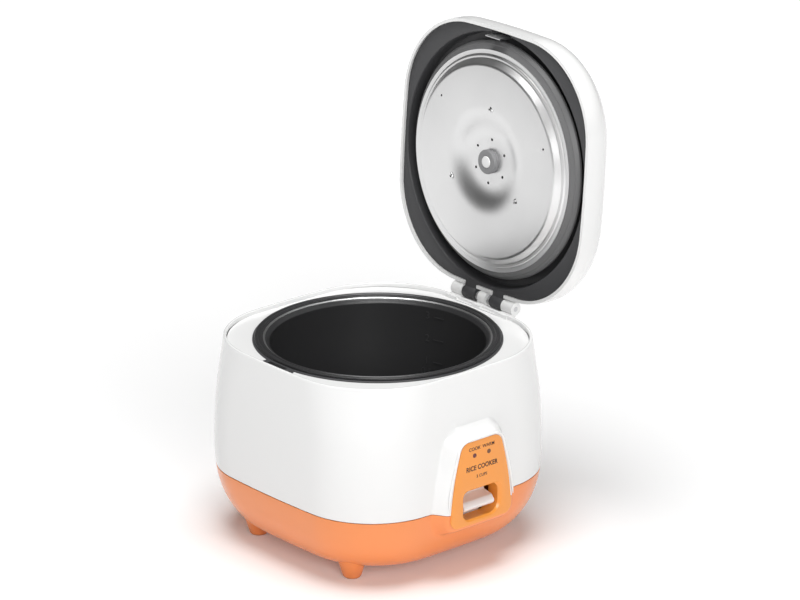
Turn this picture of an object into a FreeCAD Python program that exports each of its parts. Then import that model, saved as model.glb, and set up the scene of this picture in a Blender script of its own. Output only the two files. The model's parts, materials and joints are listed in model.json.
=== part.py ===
import FreeCAD, Part
import os
from math import cos, hypot, pi, radians, sin, sqrt, tan

# A small electric rice cooker with a hinged lid that stands open, in millimetres.
# +Z is up and the floor is Z = 0. The origin is on the floor under the pot's axis.
# The control panel faces -Y, the lid's latch is at -X and its hinge at +X.
# Lid pieces are drawn closed and then turned open about the hinge pin.

V = FreeCAD.Vector
os.makedirs("parts", exist_ok=True)

# ---- driving dimensions -------------------------------------------------------

# the body's plan is a square with bowed sides and large round corners
SIDE_RADIUS = 900.0
SECTIONS = [  # height, half width, corner radius
    (9.0, 80.0, 55.0),
    (12.5, 86.5, 57.0),
    (20.0, 94.0, 60.0),
    (32.0, 100.5, 61.5),
    (45.0, 104.0, 61.0),
    (55.5, 105.3, 61.0),
    (75.0, 105.8, 60.0),
    (115.0, 104.8, 62.0),
    (157.5, 102.5, 70.0),
]
UNDERSIDE_Z = SECTIONS[0][0]
SEAM_Z = 55.5
BODY_TOP_Z = SECTIONS[-1][0]
WALL = 2.6
GAP = 0.3  # between bodies that move past each other

DECK_Z = 154.2
DECK_THICKNESS = 2.5
FOOT_X, FOOT_Y = 72.0, 54.0
FOOT_RADIUS = 10.0
PAD_HEIGHT = 1.2
FLOOR_IN = UNDERSIDE_Z + WALL  # inside face of the base
COVER_RADIUS = 55.0
COVER_SCREWS = 50.0
KEEPER_X, KEEPER_HALF = (-99.0, -93.9), 14.5
SLOT_X, SLOT_HALF = (-99.0, -95.5), 9.5
INLET = (-15.0, 15.0, 78.0, 104.0, 20.0, 40.0)  # low and high x, y and z

# the well that holds the pot
RING_RADIUS = 93.5
RING_BORE = 85.5
RING_TOP_Z = 155.4
WELL_RADIUS = 88.7
SHEET = 0.8
WELL_FLOOR_Z = 60.0

# the pot, seated
POT_RIM_RADIUS = 92.0
POT_RIM_Z = 157.4
POT_WALL_TOP_RADIUS = 82.9
POT_WALL_LOW_RADIUS = 79.5
POT_BASE_Z = 75.3
POT_WALL = 1.5
COATING = 0.35
POT_CORNER = 17.0  # outer radius where the wall meets the base

# heater and thermostat
HEATER_RADIUS = 70.0
HEATER_LOW_Z, HEATER_TOP_Z = 64.5, 75.0
ELEMENT_RING, ELEMENT_RADIUS, ELEMENT_Z = 48.0, 3.0, 67.0
CAPSULE_RADIUS = 15.0
CAPSULE_LOW_Z = 60.5
SHIELD_Z = 52.0
SUPPORT_CIRCLE = 62.0
SUPPORT_ANGLES = (90.0, 210.0, 330.0)

# control panel and cook lever
PANEL_FRONT_Y = -115.7
PANEL_THICKNESS = 3.0
PANEL_BACK_Y = PANEL_FRONT_Y + PANEL_THICKNESS
PANEL_OUTLINE = [  # half width, height, corner radius
    (18.5, 108.3, 8.0),
    (27.8, 76.0, 225.0),
    (30.3, 43.5, 7.0),
]
LEVER_OPENING = (-17.5, 17.5, 47.2, 70.0, 6.0)  # x, x, z, z, corner radius
BOSS_LIP = 2.6  # width of the casing's raised border round the panel
PANEL_SEAT = 2.5  # width of the ledge the panel is glued to
LAMP_X, LAMP_Z, LAMP_RADIUS = 7.0, 97.2, 1.7
BOARD_Y = -108.0
LEVER_X = (-16.0, 13.5)
ARM_HALF = 8.0
ARM_SLOT = (-ARM_HALF - 2.0, ARM_HALF + 2.0, -107.0, -94.0, 36.5, 60.0)
SWITCH_Z = 22.0
PIVOT_Y, PIVOT_Z, PIVOT_RADIUS = -84.0, 44.0, 2.0
RUNNING = 0.05  # radial clearance of a pin in the part that turns on it

# lid and hinge
HINGE_X, HINGE_Z = 108.1, 160.5
OPEN_ANGLE = 93.9
HINGE_PIN_RADIUS = 2.0
KNUCKLE_RADIUS = 5.0
ARM_SPAN = (8.5, 22.0)
HINGE_HALF = 34.0
CLEAR_RADIUS = KNUCKLE_RADIUS + GAP  # of the hollow round a knuckle
LID_LOW_Z = 158.0
LID_SECTIONS = [
    (LID_LOW_Z, 102.5, 70.0),
    (167.0, 102.8, 69.0),
    (176.0, 101.2, 68.0),
    (184.0, 96.0, 66.0),
    (190.0, 86.0, 62.0),
    (194.0, 70.0, 55.0),
    (196.0, 50.0, 42.0),
]
FRAME_Z = 160.2
FRAME_THICKNESS = 2.5
TRAY_RADIUS = 93.5
TRAY_FLOOR_Z = 172.0
TRAY_WALL = 2.0
BOSS_LOW = TRAY_FLOOR_Z + TRAY_WALL
PLATE_RADIUS = 84.8
PLATE_Z = 157.7
PLATE_THICKNESS = 0.8
GASKET_RADIUS = 91.3
VENT_X = 22.0
VENT_RADIUS = 13.0
STEAM_CIRCLE = 17.0
HOOK_PIVOT_X, HOOK_PIVOT_Z = -88.0, 177.0
BUTTON_X, BUTTON_HALF_X, BUTTON_HALF_Y = -70.0, 9.0, 14.0

HALL = 400.0  # larger than the cooker, for cutting away one side


# ---- helpers ---------------------------------------------------------------------


def block(x0, x1, y0, y1, z0, z1):
    return Part.makeBox(x1 - x0, y1 - y0, z1 - z0, V(x0, y0, z0))


def post(radius, low, high, x=0.0, y=0.0):
    return Part.makeCylinder(radius, high - low, V(x, y, low))


def sleeve(outer, inner, low, high, x=0.0, y=0.0):
    return post(outer, low, high, x, y).cut(post(inner, low - 1, high + 1, x, y))


def rod_y(radius, y0, y1, x, z):
    return Part.makeCylinder(radius, y1 - y0, V(x, y0, z), V(0, 1, 0))


def rod_x(radius, x0, x1, y, z):
    return Part.makeCylinder(radius, x1 - x0, V(x0, y, z), V(1, 0, 0))


def on_circle(radius, angle):
    return radius * cos(radians(angle)), radius * sin(radians(angle))


def rounded_wire(corners, place):
    """A closed wire through corners given as (u, v, radius); place makes a point of u, v."""
    count = len(corners)
    edges, ends = [], []
    for i, (u, v, r) in enumerate(corners):
        here = V(u, v, 0)
        before = (V(*corners[i - 1][:2], 0) - here).normalize()
        after = (V(*corners[(i + 1) % count][:2], 0) - here).normalize()
        if r <= 0:
            ends.append((here, None, here))
            continue
        half = before.getAngle(after) / 2
        reach = r / tan(half)
        middle = here + (before + after).normalize() * (r / sin(half) - r)
        ends.append((here + before * reach, middle, here + after * reach))
    for i, (start, middle, end) in enumerate(ends):
        a, c = place(start.x, start.y), place(end.x, end.y)
        if middle is not None:
            edges.append(Part.Arc(a, place(middle.x, middle.y), c).toShape())
        nxt = ends[(i + 1) % count][0]
        b = place(nxt.x, nxt.y)
        if c.distanceToPoint(b) > 1e-6:
            edges.append(Part.makeLine(c, b))
    return Part.Wire(edges)


def turned(corners):
    """A solid of revolution about Z from a section given as (radius, height, corner radius)."""
    wire = rounded_wire(corners, lambda u, v: V(u, 0, v))
    return Part.Face(wire).revolve(V(0, 0, 0), V(0, 0, 1), 360)


def prism_y(wire, y0, y1):
    """Carries a wire drawn at y = 0 to y0 and extrudes it to y1."""
    face = Part.Face(wire)
    face.translate(V(0, y0, 0))
    return face.extrude(V(0, y1 - y0, 0))


def prism_z(corners, z0, z1):
    wire = rounded_wire(corners, lambda u, v: V(u, v, z0))
    return Part.Face(wire).extrude(V(0, 0, z1 - z0))


def bowed_square(z, half, corner, inset=0.0):
    """A square outline of four bowed sides and four corner arcs, tangent to each other."""
    half, corner, side = half - inset, corner - inset, SIDE_RADIUS - inset
    back = half - side  # where a side arc's centre lies on its axis
    d = (back + sqrt(2 * (side - corner) ** 2 - back**2)) / 2  # a corner arc's centre
    reach = side / (side - corner)
    join = (back + (d - back) * reach, d * reach)
    tip = d + corner / sqrt(2)
    edges = []
    for quarter in range(4):
        turn = FreeCAD.Rotation(V(0, 0, 1), 90 * quarter)
        spots = [
            V(join[0], -join[1], z),
            V(half, 0, z),
            V(join[0], join[1], z),
            V(tip, tip, z),
            V(join[1], join[0], z),
        ]
        a, b, c, e, f = [turn.multVec(p) for p in spots]
        edges += [Part.Arc(a, b, c).toShape(), Part.Arc(c, e, f).toShape()]
    return Part.Wire(edges)


def loft(sections, inset=0.0, drop=0.0):
    wires = [bowed_square(z - drop, half, corner, inset) for z, half, corner in sections]
    return Part.makeLoft(wires, True)


def coil(radius, wire, low, high, turns, x=0.0, y=0.0):
    """An open helical spring along Z between two heights."""
    rise = high - low - 2 * wire
    helix = Part.makeHelix(rise / turns, rise, radius)
    section = Part.Wire(Part.makeCircle(wire, V(radius, 0, 0), V(0, 1, 0)))
    spring = Part.Wire(helix.Edges).makePipeShell([section], True, True)
    spring.translate(V(x, y, low + wire))
    return spring


def along_y(shape, x, z, y):
    """Turns a shape built up Z so that it runs along Y, from y at x, z."""
    shape.rotate(V(0, 0, 0), V(1, 0, 0), -90)
    shape.translate(V(x, y, z))
    return shape


def opened(shape):
    shape = shape.copy()
    shape.rotate(V(HINGE_X, 0, HINGE_Z), V(0, 1, 0), OPEN_ANGLE)
    return shape


def joined(first, *others):
    shape = first.fuse(list(others)).removeSplitter()
    return shape.Solids[0] if len(shape.Solids) == 1 else shape


def less(shape, *tools):
    shape = shape.cut(list(tools))
    return shape.Solids[0] if len(shape.Solids) == 1 else shape


def save(node, *shapes):
    shape = shapes[0] if len(shapes) == 1 else Part.makeCompound(list(shapes))
    shape.exportStep(f"parts/{node}.step")
    print(f"{node:20s} solids {len(shape.Solids):2d} valid {shape.isValid()} volume {shape.Volume:9.1f}")


# ---- body casing --------------------------------------------------------------------


def panel_wire(grow=0.0):
    right = [(u, v, r) for u, v, r in PANEL_OUTLINE]
    left = [(-u, v, r) for u, v, r in reversed(PANEL_OUTLINE)]
    wire = rounded_wire(right + left, lambda u, v: V(u, 0, v))
    return wire.makeOffset2D(grow) if grow else wire


def opening_wire(grow=0.0):
    x0, x1, z0, z1, r = LEVER_OPENING
    corners = [(x0, z0, r), (x1, z0, r), (x1, z1, r), (x0, z1, r)]
    wire = rounded_wire(corners, lambda u, v: V(u, 0, v))
    return wire.makeOffset2D(grow) if grow else wire


def body_casing():
    outer = loft(SECTIONS)
    inner_sections = [(UNDERSIDE_Z + WALL, SECTIONS[0][1] + 2.0, SECTIONS[0][2] + 1.0)]
    inner_sections += SECTIONS[1:-1] + [(BODY_TOP_Z + 1.0, SECTIONS[-1][1], SECTIONS[-1][2])]
    inner = loft(inner_sections, WALL)
    boss = prism_y(panel_wire(BOSS_LIP), -98.0, PANEL_FRONT_Y + 0.9)
    casing = less(
        joined(outer, boss),
        inner,
        prism_y(panel_wire(-PANEL_SEAT), -90.0, -HALL),
        prism_y(panel_wire(), PANEL_BACK_Y, -HALL),
        block(*ARM_SLOT),
        block(96.0, HALL, -HINGE_HALF, HINGE_HALF, DECK_Z, HALL),
        block(*INLET),
    )
    above = block(-HALL, HALL, -HALL, HALL, SEAM_Z, HALL)
    below = block(-HALL, HALL, -HALL, HALL, -HALL, SEAM_Z)
    shell = casing.common(above).Solids[0]
    base = casing.common(below).Solids[0]
    return outer, inner, shell, base


body_outer, body_inner, outer_shell, base = body_casing()
cover_hole = post(COVER_RADIUS + 0.2, UNDERSIDE_Z - 1, UNDERSIDE_Z + WALL + 0.1)
ledge = sleeve(COVER_RADIUS + 3, COVER_SCREWS - 5, UNDERSIDE_Z + WALL, UNDERSIDE_Z + 2 * WALL)
screw_spots = [on_circle(COVER_SCREWS, a) for a in (90, 210, 330)]
screw_holes = [post(1.5, 0, 20, x, y) for x, y in screw_spots]
base_shell = less(joined(less(base, cover_hole), ledge), *screw_holes)
save("outer_shell", outer_shell)
save("base_shell", base_shell)

slots = [
    block(-30.0, 30.0, y - 1.5, y + 1.5, 0, 20) for y in (-28.0, -20.0, -12.0, 12.0, 20.0, 28.0)
]
bottom_cover = post(COVER_RADIUS, UNDERSIDE_Z, UNDERSIDE_Z + WALL)
save("bottom_cover", less(bottom_cover, *slots, *screw_holes))
bottom_screws = [
    joined(
        post(3.0, UNDERSIDE_Z - 1.6, UNDERSIDE_Z, x, y),
        post(1.5, UNDERSIDE_Z - 1.6, UNDERSIDE_Z + 2 * WALL + 3, x, y),
    )
    for x, y in screw_spots
]
save("bottom_screws", *bottom_screws)

feet, pads = [], []
for x in (-FOOT_X, FOOT_X):
    for y in (-FOOT_Y, FOOT_Y):
        cone = Part.makeCone(FOOT_RADIUS - 3.0, FOOT_RADIUS + 2.5, 18.0, V(x, y, PAD_HEIGHT))
        feet.append(cone.cut(body_outer).Solids[0])
        pads.append(post(FOOT_RADIUS - 4.0, 0.0, PAD_HEIGHT, x, y))
# a fifth foot, in the middle of the cover, carries the heater and the pot
feet.append(post(FOOT_RADIUS - 1.5, PAD_HEIGHT, UNDERSIDE_Z))
pads.append(post(FOOT_RADIUS - 3.0, 0.0, PAD_HEIGHT))
save("feet", *feet)
save("foot_pads", *pads)

keeper_slot = block(*SLOT_X, -SLOT_HALF, SLOT_HALF, 140.0, 170.0)
deck_slab = block(-HALL, HALL, -HALL, HALL, DECK_Z - DECK_THICKNESS, DECK_Z)
top_deck = less(body_inner.common(deck_slab), post(RING_BORE + 2.0, 140.0, 170.0), keeper_slot)
save("top_deck", top_deck)

ring_section = [
    (RING_BORE, 142.0, 0),
    (RING_BORE + 1.8, 142.0, 0),
    (RING_BORE + 1.8, DECK_Z, 0),
    (RING_RADIUS, DECK_Z, 0),
    (RING_RADIUS, RING_TOP_Z, 0.6),
    (RING_BORE, RING_TOP_Z, 0.6),
]
save("well_ring", turned(ring_section))
keeper = block(*KEEPER_X, -KEEPER_HALF, KEEPER_HALF, DECK_Z, 156.8)
save("latch_keeper", less(keeper, keeper_slot))

# ---- control panel, lamps and cook lever -------------------------------------------------

tunnel = prism_y(opening_wire(1.0), PANEL_BACK_Y, PANEL_BACK_Y + 4.5)
panel = joined(prism_y(panel_wire(), PANEL_FRONT_Y, PANEL_BACK_Y), tunnel)
lamp_holes = [
    Part.makeCylinder(LAMP_RADIUS, 10, V(x, PANEL_FRONT_Y - 2, LAMP_Z), V(0, 1, 0))
    for x in (-LAMP_X, LAMP_X)
]
opening = prism_y(opening_wire(), PANEL_FRONT_Y - 5, PANEL_BACK_Y + 10)
save("control_panel", less(panel, opening, *lamp_holes))
for node, x in (("cook_lens", -LAMP_X), ("warm_lens", LAMP_X)):
    lens = Part.makeCylinder(
        LAMP_RADIUS, PANEL_THICKNESS + 0.4, V(x, PANEL_FRONT_Y - 0.2, LAMP_Z), V(0, 1, 0)
    )
    save(node, lens)
leds = [
    joined(
        Part.makeCylinder(2.2, 2.3, V(x, BOARD_Y - 2.3, LAMP_Z), V(0, 1, 0)),
        Part.makeSphere(2.2, V(x, BOARD_Y - 2.3, LAMP_Z)),
    )
    for x in (-LAMP_X, LAMP_X)
]
save("leds", *leds)
save("lamp_board", block(-14.5, 14.5, BOARD_Y, BOARD_Y + 1.6, 84.0, 103.0))

lever_section = [
    (-103.4, 50.0, 0),
    (-101.0, 50.0, 0),
    (-101.0, 70.0, 0),
    (-103.4, 70.0, 1.0),
    (-103.4, 62.4, 1.0),
    (-112.0, 60.6, 2.2),
    (-115.4, 56.4, 2.2),
    (-112.4, 52.6, 2.2),
    (-104.5, 58.0, 1.0),
]
lever_wire = rounded_wire(lever_section, lambda u, v: V(LEVER_X[0], u, v))
lever_tab = Part.Face(lever_wire).extrude(V(LEVER_X[1] - LEVER_X[0], 0, 0))
lever_arm = joined(
    block(-ARM_HALF, ARM_HALF, -103.4, -101.0, 39.0, 52.0),
    block(-ARM_HALF, ARM_HALF, -103.4, -18.0, 39.0, 42.5),
    block(-ARM_HALF, -4.0, -20.0, 7.5, 40.0, 42.5),
    block(4.0, ARM_HALF, -20.0, 7.5, 40.0, 42.5),
    rod_x(4.5, -ARM_HALF, ARM_HALF, PIVOT_Y, PIVOT_Z),
)
pivot_hole = rod_x(PIVOT_RADIUS + RUNNING, -30.0, 30.0, PIVOT_Y, PIVOT_Z)
save("cook_lever", less(joined(lever_tab, lever_arm), pivot_hole))
save("lever_pin", rod_x(PIVOT_RADIUS, -22.0, 22.0, PIVOT_Y, PIVOT_Z))
bracket = joined(
    block(-21.5, 21.5, -90.0, -64.0, 33.5, 35.0),
    block(-21.5, -20.0, -90.0, -78.0, 33.5, 49.0),
    block(20.0, 21.5, -90.0, -78.0, 33.5, 49.0),
    block(-21.5, -20.0, -74.0, -64.0, UNDERSIDE_Z + WALL + 0.4, 34.0),
    block(20.0, 21.5, -74.0, -64.0, UNDERSIDE_Z + WALL + 0.4, 34.0),
)
save("switch_bracket", less(bracket, rod_x(PIVOT_RADIUS, -30.0, 30.0, PIVOT_Y, PIVOT_Z)))
lever_spring = coil(3.4, 0.5, 0.0, 9.0, 5)
lever_spring.rotate(V(0, 0, 0), V(0, 1, 0), 90)
lever_spring.translate(V(9.5, PIVOT_Y, PIVOT_Z))
save("lever_spring", lever_spring)
save("micro_switch", block(-6.0, 6.0, -60.0, -46.0, SWITCH_Z, 33.0))
save("switch_button", post(1.8, 33.0, 36.0, 0.0, -53.0))
save("switch_post", post(3.5, UNDERSIDE_Z + 2 * WALL, SWITCH_Z, 0.0, -53.0))

# ---- heater, thermostat and wiring ---------------------------------------------------------

support_spots = [on_circle(SUPPORT_CIRCLE, a) for a in SUPPORT_ANGLES]
leg_spots = [(12.0, sqrt(ELEMENT_RING**2 - 144.0)), (-12.0, sqrt(ELEMENT_RING**2 - 144.0))]
well = joined(
    sleeve(WELL_RADIUS + SHEET, WELL_RADIUS, WELL_FLOOR_Z, DECK_Z - DECK_THICKNESS),
    sleeve(94.5, WELL_RADIUS, DECK_Z - DECK_THICKNESS - 1.0, DECK_Z - DECK_THICKNESS),
    post(WELL_RADIUS + 0.4, WELL_FLOOR_Z, WELL_FLOOR_Z + SHEET),
)
well_cuts = [post(20.0, 50.0, 62.0)] + [post(5.0, 50.0, 62.0, x, y) for x, y in leg_spots]
save("inner_well", less(well, *well_cuts))
band = sleeve(WELL_RADIUS + SHEET + 1.6, WELL_RADIUS + SHEET, 92.0, 114.0)
save("keep_warm_heater", less(band, block(80.0, 100.0, -12.0, 12.0, 80.0, 130.0)))

element = Part.makeTorus(ELEMENT_RING, ELEMENT_RADIUS, V(0, 0, ELEMENT_Z))
element_legs = [post(ELEMENT_RADIUS - 0.4, 54.5, ELEMENT_Z, x, y) for x, y in leg_spots]
heater = less(
    post(HEATER_RADIUS, HEATER_LOW_Z, HEATER_TOP_Z),
    post(17.0, 60.0, 80.0),
    element,
    *element_legs,
)
heater_posts = [post(5.0, WELL_FLOOR_Z + SHEET, HEATER_LOW_Z, x, y) for x, y in support_spots]
save("heater_plate", heater)
save("heater_posts", *heater_posts)
save("heater_element", joined(element, *element_legs))

capsule_section = [
    (CAPSULE_RADIUS - 1.5, CAPSULE_LOW_Z, 0),
    (CAPSULE_RADIUS, CAPSULE_LOW_Z, 0),
    (CAPSULE_RADIUS, HEATER_TOP_Z, 1.0),
    (0.0, HEATER_TOP_Z, 0),
    (0.0, HEATER_TOP_Z - 1.2, 0),
    (CAPSULE_RADIUS - 1.5, HEATER_TOP_Z - 1.2, 0),
]
save("thermostat_capsule", turned(capsule_section))
save("thermostat_spring", coil(14.2, 0.6, SHIELD_Z + SHEET, CAPSULE_LOW_Z, 3))
save("magnet", post(10.0, 59.3, 63.3))
magnet_rod = joined(post(2.4, 38.0, 59.3), post(6.5, 43.6, 45.0))
save("magnet_rod", magnet_rod)

shield = post(80.0, SHIELD_Z, SHIELD_Z + SHEET)
shield_cuts = [post(11.5, 50.0, 54.0)] + [post(5.0, 50.0, 54.0, x, y) for x, y in leg_spots]
save("heat_shield", less(shield, *shield_cuts))
standoffs = [post(4.0, FLOOR_IN, SHIELD_Z, x, y) for x, y in support_spots]
save("standoffs", *standoffs)
save("spacers", *[post(4.0, SHIELD_Z + SHEET, WELL_FLOOR_Z, x, y) for x, y in support_spots])
fuse = rod_x(2.4, 22.0, 44.0, -36.0, WELL_FLOOR_Z - 2.4)
save("thermal_fuse", fuse)
terminals = joined(
    block(60.0, 71.0, -14.0, 14.0, FLOOR_IN, 16.0),
    *[block(60.0, 71.0, y, y + 6.0, FLOOR_IN, 24.0) for y in (-13.0, -3.0, 7.0)],
)
save("terminal_block", terminals)
x0, x1, y0, y1, z0, z1 = INLET
socket = block(x0 + 2.5, x1 - 2.5, y1 - 16.0, y1 + 1, z0 + 2.5, z1 - 2.5)
pins = [rod_y(1.2, y0 - 4.0, y1 - 6.0, x, 30.0) for x in (-5.0, 5.0)]
save("power_inlet", less(block(*INLET), socket, *pins))
save("inlet_pins", *pins)

# ---- pot -----------------------------------------------------------------------------------

pot_section = [
    (0.0, POT_BASE_Z, 0),
    (POT_WALL_LOW_RADIUS, POT_BASE_Z, POT_CORNER),
    (POT_WALL_TOP_RADIUS, POT_RIM_Z - 3.2, 0.8),
    (POT_WALL_TOP_RADIUS + 1.6, POT_RIM_Z - 1.7, 0.8),
    (POT_RIM_RADIUS, POT_RIM_Z - 1.7, 0.8),
    (POT_RIM_RADIUS, POT_RIM_Z, 0.8),
    (POT_WALL_TOP_RADIUS, POT_RIM_Z, 1.0),
    (POT_WALL_TOP_RADIUS - POT_WALL, POT_RIM_Z - 3.0, 1.5),
    (POT_WALL_LOW_RADIUS - POT_WALL, POT_BASE_Z + POT_WALL, POT_CORNER - POT_WALL),
    (0.0, POT_BASE_Z + POT_WALL, 0),
]
inner_pot = turned(pot_section)
coat_section = [
    (0.0, POT_BASE_Z + POT_WALL, 0),
    (POT_WALL_LOW_RADIUS - POT_WALL, POT_BASE_Z + POT_WALL, POT_CORNER - POT_WALL),
    (POT_WALL_TOP_RADIUS - POT_WALL, POT_RIM_Z - 5.0, 0),
    (POT_WALL_TOP_RADIUS - POT_WALL - COATING, POT_RIM_Z - 5.0, 0),
    (
        POT_WALL_LOW_RADIUS - POT_WALL - COATING,
        POT_BASE_Z + POT_WALL + COATING,
        POT_CORNER - POT_WALL - COATING,
    ),
    (0.0, POT_BASE_Z + POT_WALL + COATING, 0),
]
pot_coating = turned(coat_section).cut(inner_pot).Solids[0]
save("inner_pot", inner_pot)
save("pot_coating", pot_coating)

# ---- hinge ------------------------------------------------------------------------------------

arm_low, arm_high = ARM_SPAN
knuckle_spans = [(-HINGE_HALF, -arm_high - GAP), (-4.0, 4.0), (arm_high + GAP, HINGE_HALF)]
arm_spans = [(-arm_high, -arm_low), (arm_low, arm_high)]
knuckles = [rod_y(KNUCKLE_RADIUS, a, b, HINGE_X, HINGE_Z) for a, b in knuckle_spans]
webs = [block(98.5, HINGE_X, a, b, DECK_Z, 157.0) for a, b in knuckle_spans]
bed = block(98.5, HINGE_X, -HINGE_HALF, HINGE_HALF, DECK_Z, 155.4)
reliefs = [
    rod_y(CLEAR_RADIUS, a - GAP, b + GAP, HINGE_X, HINGE_Z)
    for a, b in arm_spans + [(-arm_low, -4.0), (4.0, arm_low)]
]
pin_hole = rod_y(HINGE_PIN_RADIUS, -50, 50, HINGE_X, HINGE_Z)
hinge_block = joined(less(joined(bed, *webs), *reliefs), *knuckles)
save("hinge_block", less(hinge_block, pin_hole))
save("hinge_pin", rod_y(HINGE_PIN_RADIUS, -HINGE_HALF, HINGE_HALF, HINGE_X, HINGE_Z))
hinge_springs = [
    along_y(coil(3.2, 0.35, 0.0, 3.8, 2.5), HINGE_X, HINGE_Z, y) for y in (4.2, -8.0)
]
save("hinge_springs", *hinge_springs)

# ---- lid, drawn closed -----------------------------------------------------------------------------

lid_outer = loft(LID_SECTIONS)
lid_inner_sections = [(LID_LOW_Z - 0.5, LID_SECTIONS[0][1], LID_SECTIONS[0][2])]
lid_inner_sections += [(LID_SECTIONS[1][0], LID_SECTIONS[1][1], LID_SECTIONS[1][2])]
lid_inner_sections += [(z - 2.0, half, corner) for z, half, corner in LID_SECTIONS[2:]]
lid_inner = loft(lid_inner_sections, 2.5)
vent_hole = post(VENT_RADIUS + GAP, 150.0, 210.0, VENT_X)
button_corners = [
    (BUTTON_X - BUTTON_HALF_X, -BUTTON_HALF_Y, 4.0),
    (BUTTON_X + BUTTON_HALF_X, -BUTTON_HALF_Y, 4.0),
    (BUTTON_X + BUTTON_HALF_X, BUTTON_HALF_Y, 4.0),
    (BUTTON_X - BUTTON_HALF_X, BUTTON_HALF_Y, 4.0),
]
button_hole = Part.Face(
    rounded_wire(button_corners, lambda u, v: V(u, v, 176.0)).makeOffset2D(GAP)
).extrude(V(0, 0, 40.0))
arm_slots = [block(97.0, 120.0, a - GAP, b + GAP, 150.0, HINGE_Z + 6.0) for a, b in arm_spans]
lid_screw_spots = [(x, y) for x in (-52.0, 52.0) for y in (-52.0, 52.0)]
lid_bosses = [post(4.0, BOSS_LOW, 200.0, x, y).common(lid_outer) for x, y in lid_screw_spots]
lid_shell = less(lid_outer, lid_inner, rod_y(6.0, -HINGE_HALF, HINGE_HALF, HINGE_X, HINGE_Z))
lid_cover = less(
    joined(lid_shell, *lid_bosses),
    vent_hole,
    button_hole,
    *arm_slots,
    *[post(1.4, 150.0, 182.0, x, y) for x, y in lid_screw_spots],
)
save("lid_cover", opened(lid_cover))

frame_slab = lid_inner.common(
    block(-HALL, HALL, -HALL, HALL, FRAME_Z, FRAME_Z + FRAME_THICKNESS)
)
tray_section = [
    (TRAY_RADIUS, FRAME_Z, 0),
    (TRAY_RADIUS + TRAY_WALL, FRAME_Z, 0),
    (TRAY_RADIUS + TRAY_WALL, BOSS_LOW, 0),
    (4.0, BOSS_LOW, 0),
    (4.0, TRAY_FLOOR_Z, 0),
    (TRAY_RADIUS, TRAY_FLOOR_Z, 2.0),
]
arms = []
for a, b in arm_spans:
    arms.append(block(93.0, HINGE_X, a, b, FRAME_Z, FRAME_Z + 4.0))
    arms.append(rod_y(KNUCKLE_RADIUS - 0.2, a, b, HINGE_X, HINGE_Z))
ears = [
    block(HOOK_PIVOT_X - 3, HOOK_PIVOT_X + 3, a, b, BOSS_LOW - 0.5, HOOK_PIVOT_Z + 2.5)
    for a, b in ((-12.5, -10.5), (10.5, 12.5))
]
centre_post = joined(post(4.0, 166.0, BOSS_LOW), post(5.0, TRAY_FLOOR_Z, BOSS_LOW))
lid_frame = joined(
    less(frame_slab, post(TRAY_RADIUS, 150.0, 170.0)), turned(tray_section), centre_post, *arms, *ears
)
lid_frame = less(
    lid_frame,
    block(-120.0, -TRAY_RADIUS - TRAY_WALL + 0.01, -10.5, 10.5, 150.0, 170.0),
    rod_y(HINGE_PIN_RADIUS + RUNNING, -50, 50, HINGE_X, HINGE_Z),
    rod_y(1.5, -20.0, 20.0, HOOK_PIVOT_X, HOOK_PIVOT_Z),
    post(4.0, 150.0, 190.0, VENT_X),
    *[post(1.5, 150.0, 190.0, x, y) for x, y in lid_screw_spots],
)
save("lid_frame", opened(lid_frame))
lid_screws = [
    joined(
        post(3.0, TRAY_FLOOR_Z - 1.6, TRAY_FLOOR_Z, x, y), post(1.4, TRAY_FLOOR_Z - 1.6, 181.0, x, y)
    )
    for x, y in lid_screw_spots
]
save("lid_screws", *[opened(s) for s in lid_screws])

# the sealing plate: an outer flange, a deeper flat ring and a raised middle
PLATE_SECTION = [  # radius, height above the flange, blend radius
    (PLATE_RADIUS, 0.0, 0),
    (80.5, 0.0, 1.2),
    (79.0, 1.6, 1.2),
    (76.0, 1.6, 3.0),
    (71.0, 6.0, 4.0),
    (37.0, 6.0, 9.0),
    (24.0, 1.0, 9.0),
    (3.2, 1.0, 0),
]


def plate_solid():
    lower = [(r, PLATE_Z + h, b) for r, h, b in PLATE_SECTION]
    upper = [(r, z + PLATE_THICKNESS, b) for r, z, b in reversed(lower)]
    return turned(lower + upper)


steam_holes = [
    post(1.1, 150.0, 170.0, *on_circle(STEAM_CIRCLE, 2.0 + 60.0 * k)) for k in range(6)
]
lance_spots = [on_circle(42.3, a) for a in (183.0, 62.0, -57.5)]
pin_spots = [on_circle(66.0, a) for a in (127.0, 248.0)]
lances = [block(x - 0.8, x + 0.8, y - 2.4, y + 2.4, 150.0, 170.0) for x, y in lance_spots]
pin_holes = [post(0.9, 150.0, 170.0, x, y) for x, y in pin_spots]
save("lid_plate", opened(less(plate_solid(), *steam_holes, *lances, *pin_holes)))
knob_section = [
    (0.0, 155.2, 0),
    (3.4, 155.2, 0.8),
    (3.6, 156.4, 0.4),
    (7.0, 156.4, 0.8),
    (7.4, 158.7, 0),
    (3.2, 158.7, 0),
    (3.2, 164.5, 0),
    (0.0, 164.5, 0),
]
save("plate_knob", opened(turned(knob_section)))
gasket_section = [
    (PLATE_RADIUS, PLATE_Z, 0),
    (GASKET_RADIUS - 1.5, PLATE_Z + 0.2, 0.8),
    (GASKET_RADIUS, PLATE_Z + 2.6, 0.8),
    (GASKET_RADIUS, PLATE_Z + 4.6, 0.5),
    (PLATE_RADIUS - 3.0, PLATE_Z + 4.6, 0.5),
    (PLATE_RADIUS - 3.0, PLATE_Z + PLATE_THICKNESS, 0),
    (PLATE_RADIUS, PLATE_Z + PLATE_THICKNESS, 0),
]
save("lid_gasket", opened(turned(gasket_section).cut(plate_solid()).Solids[0]))

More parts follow.
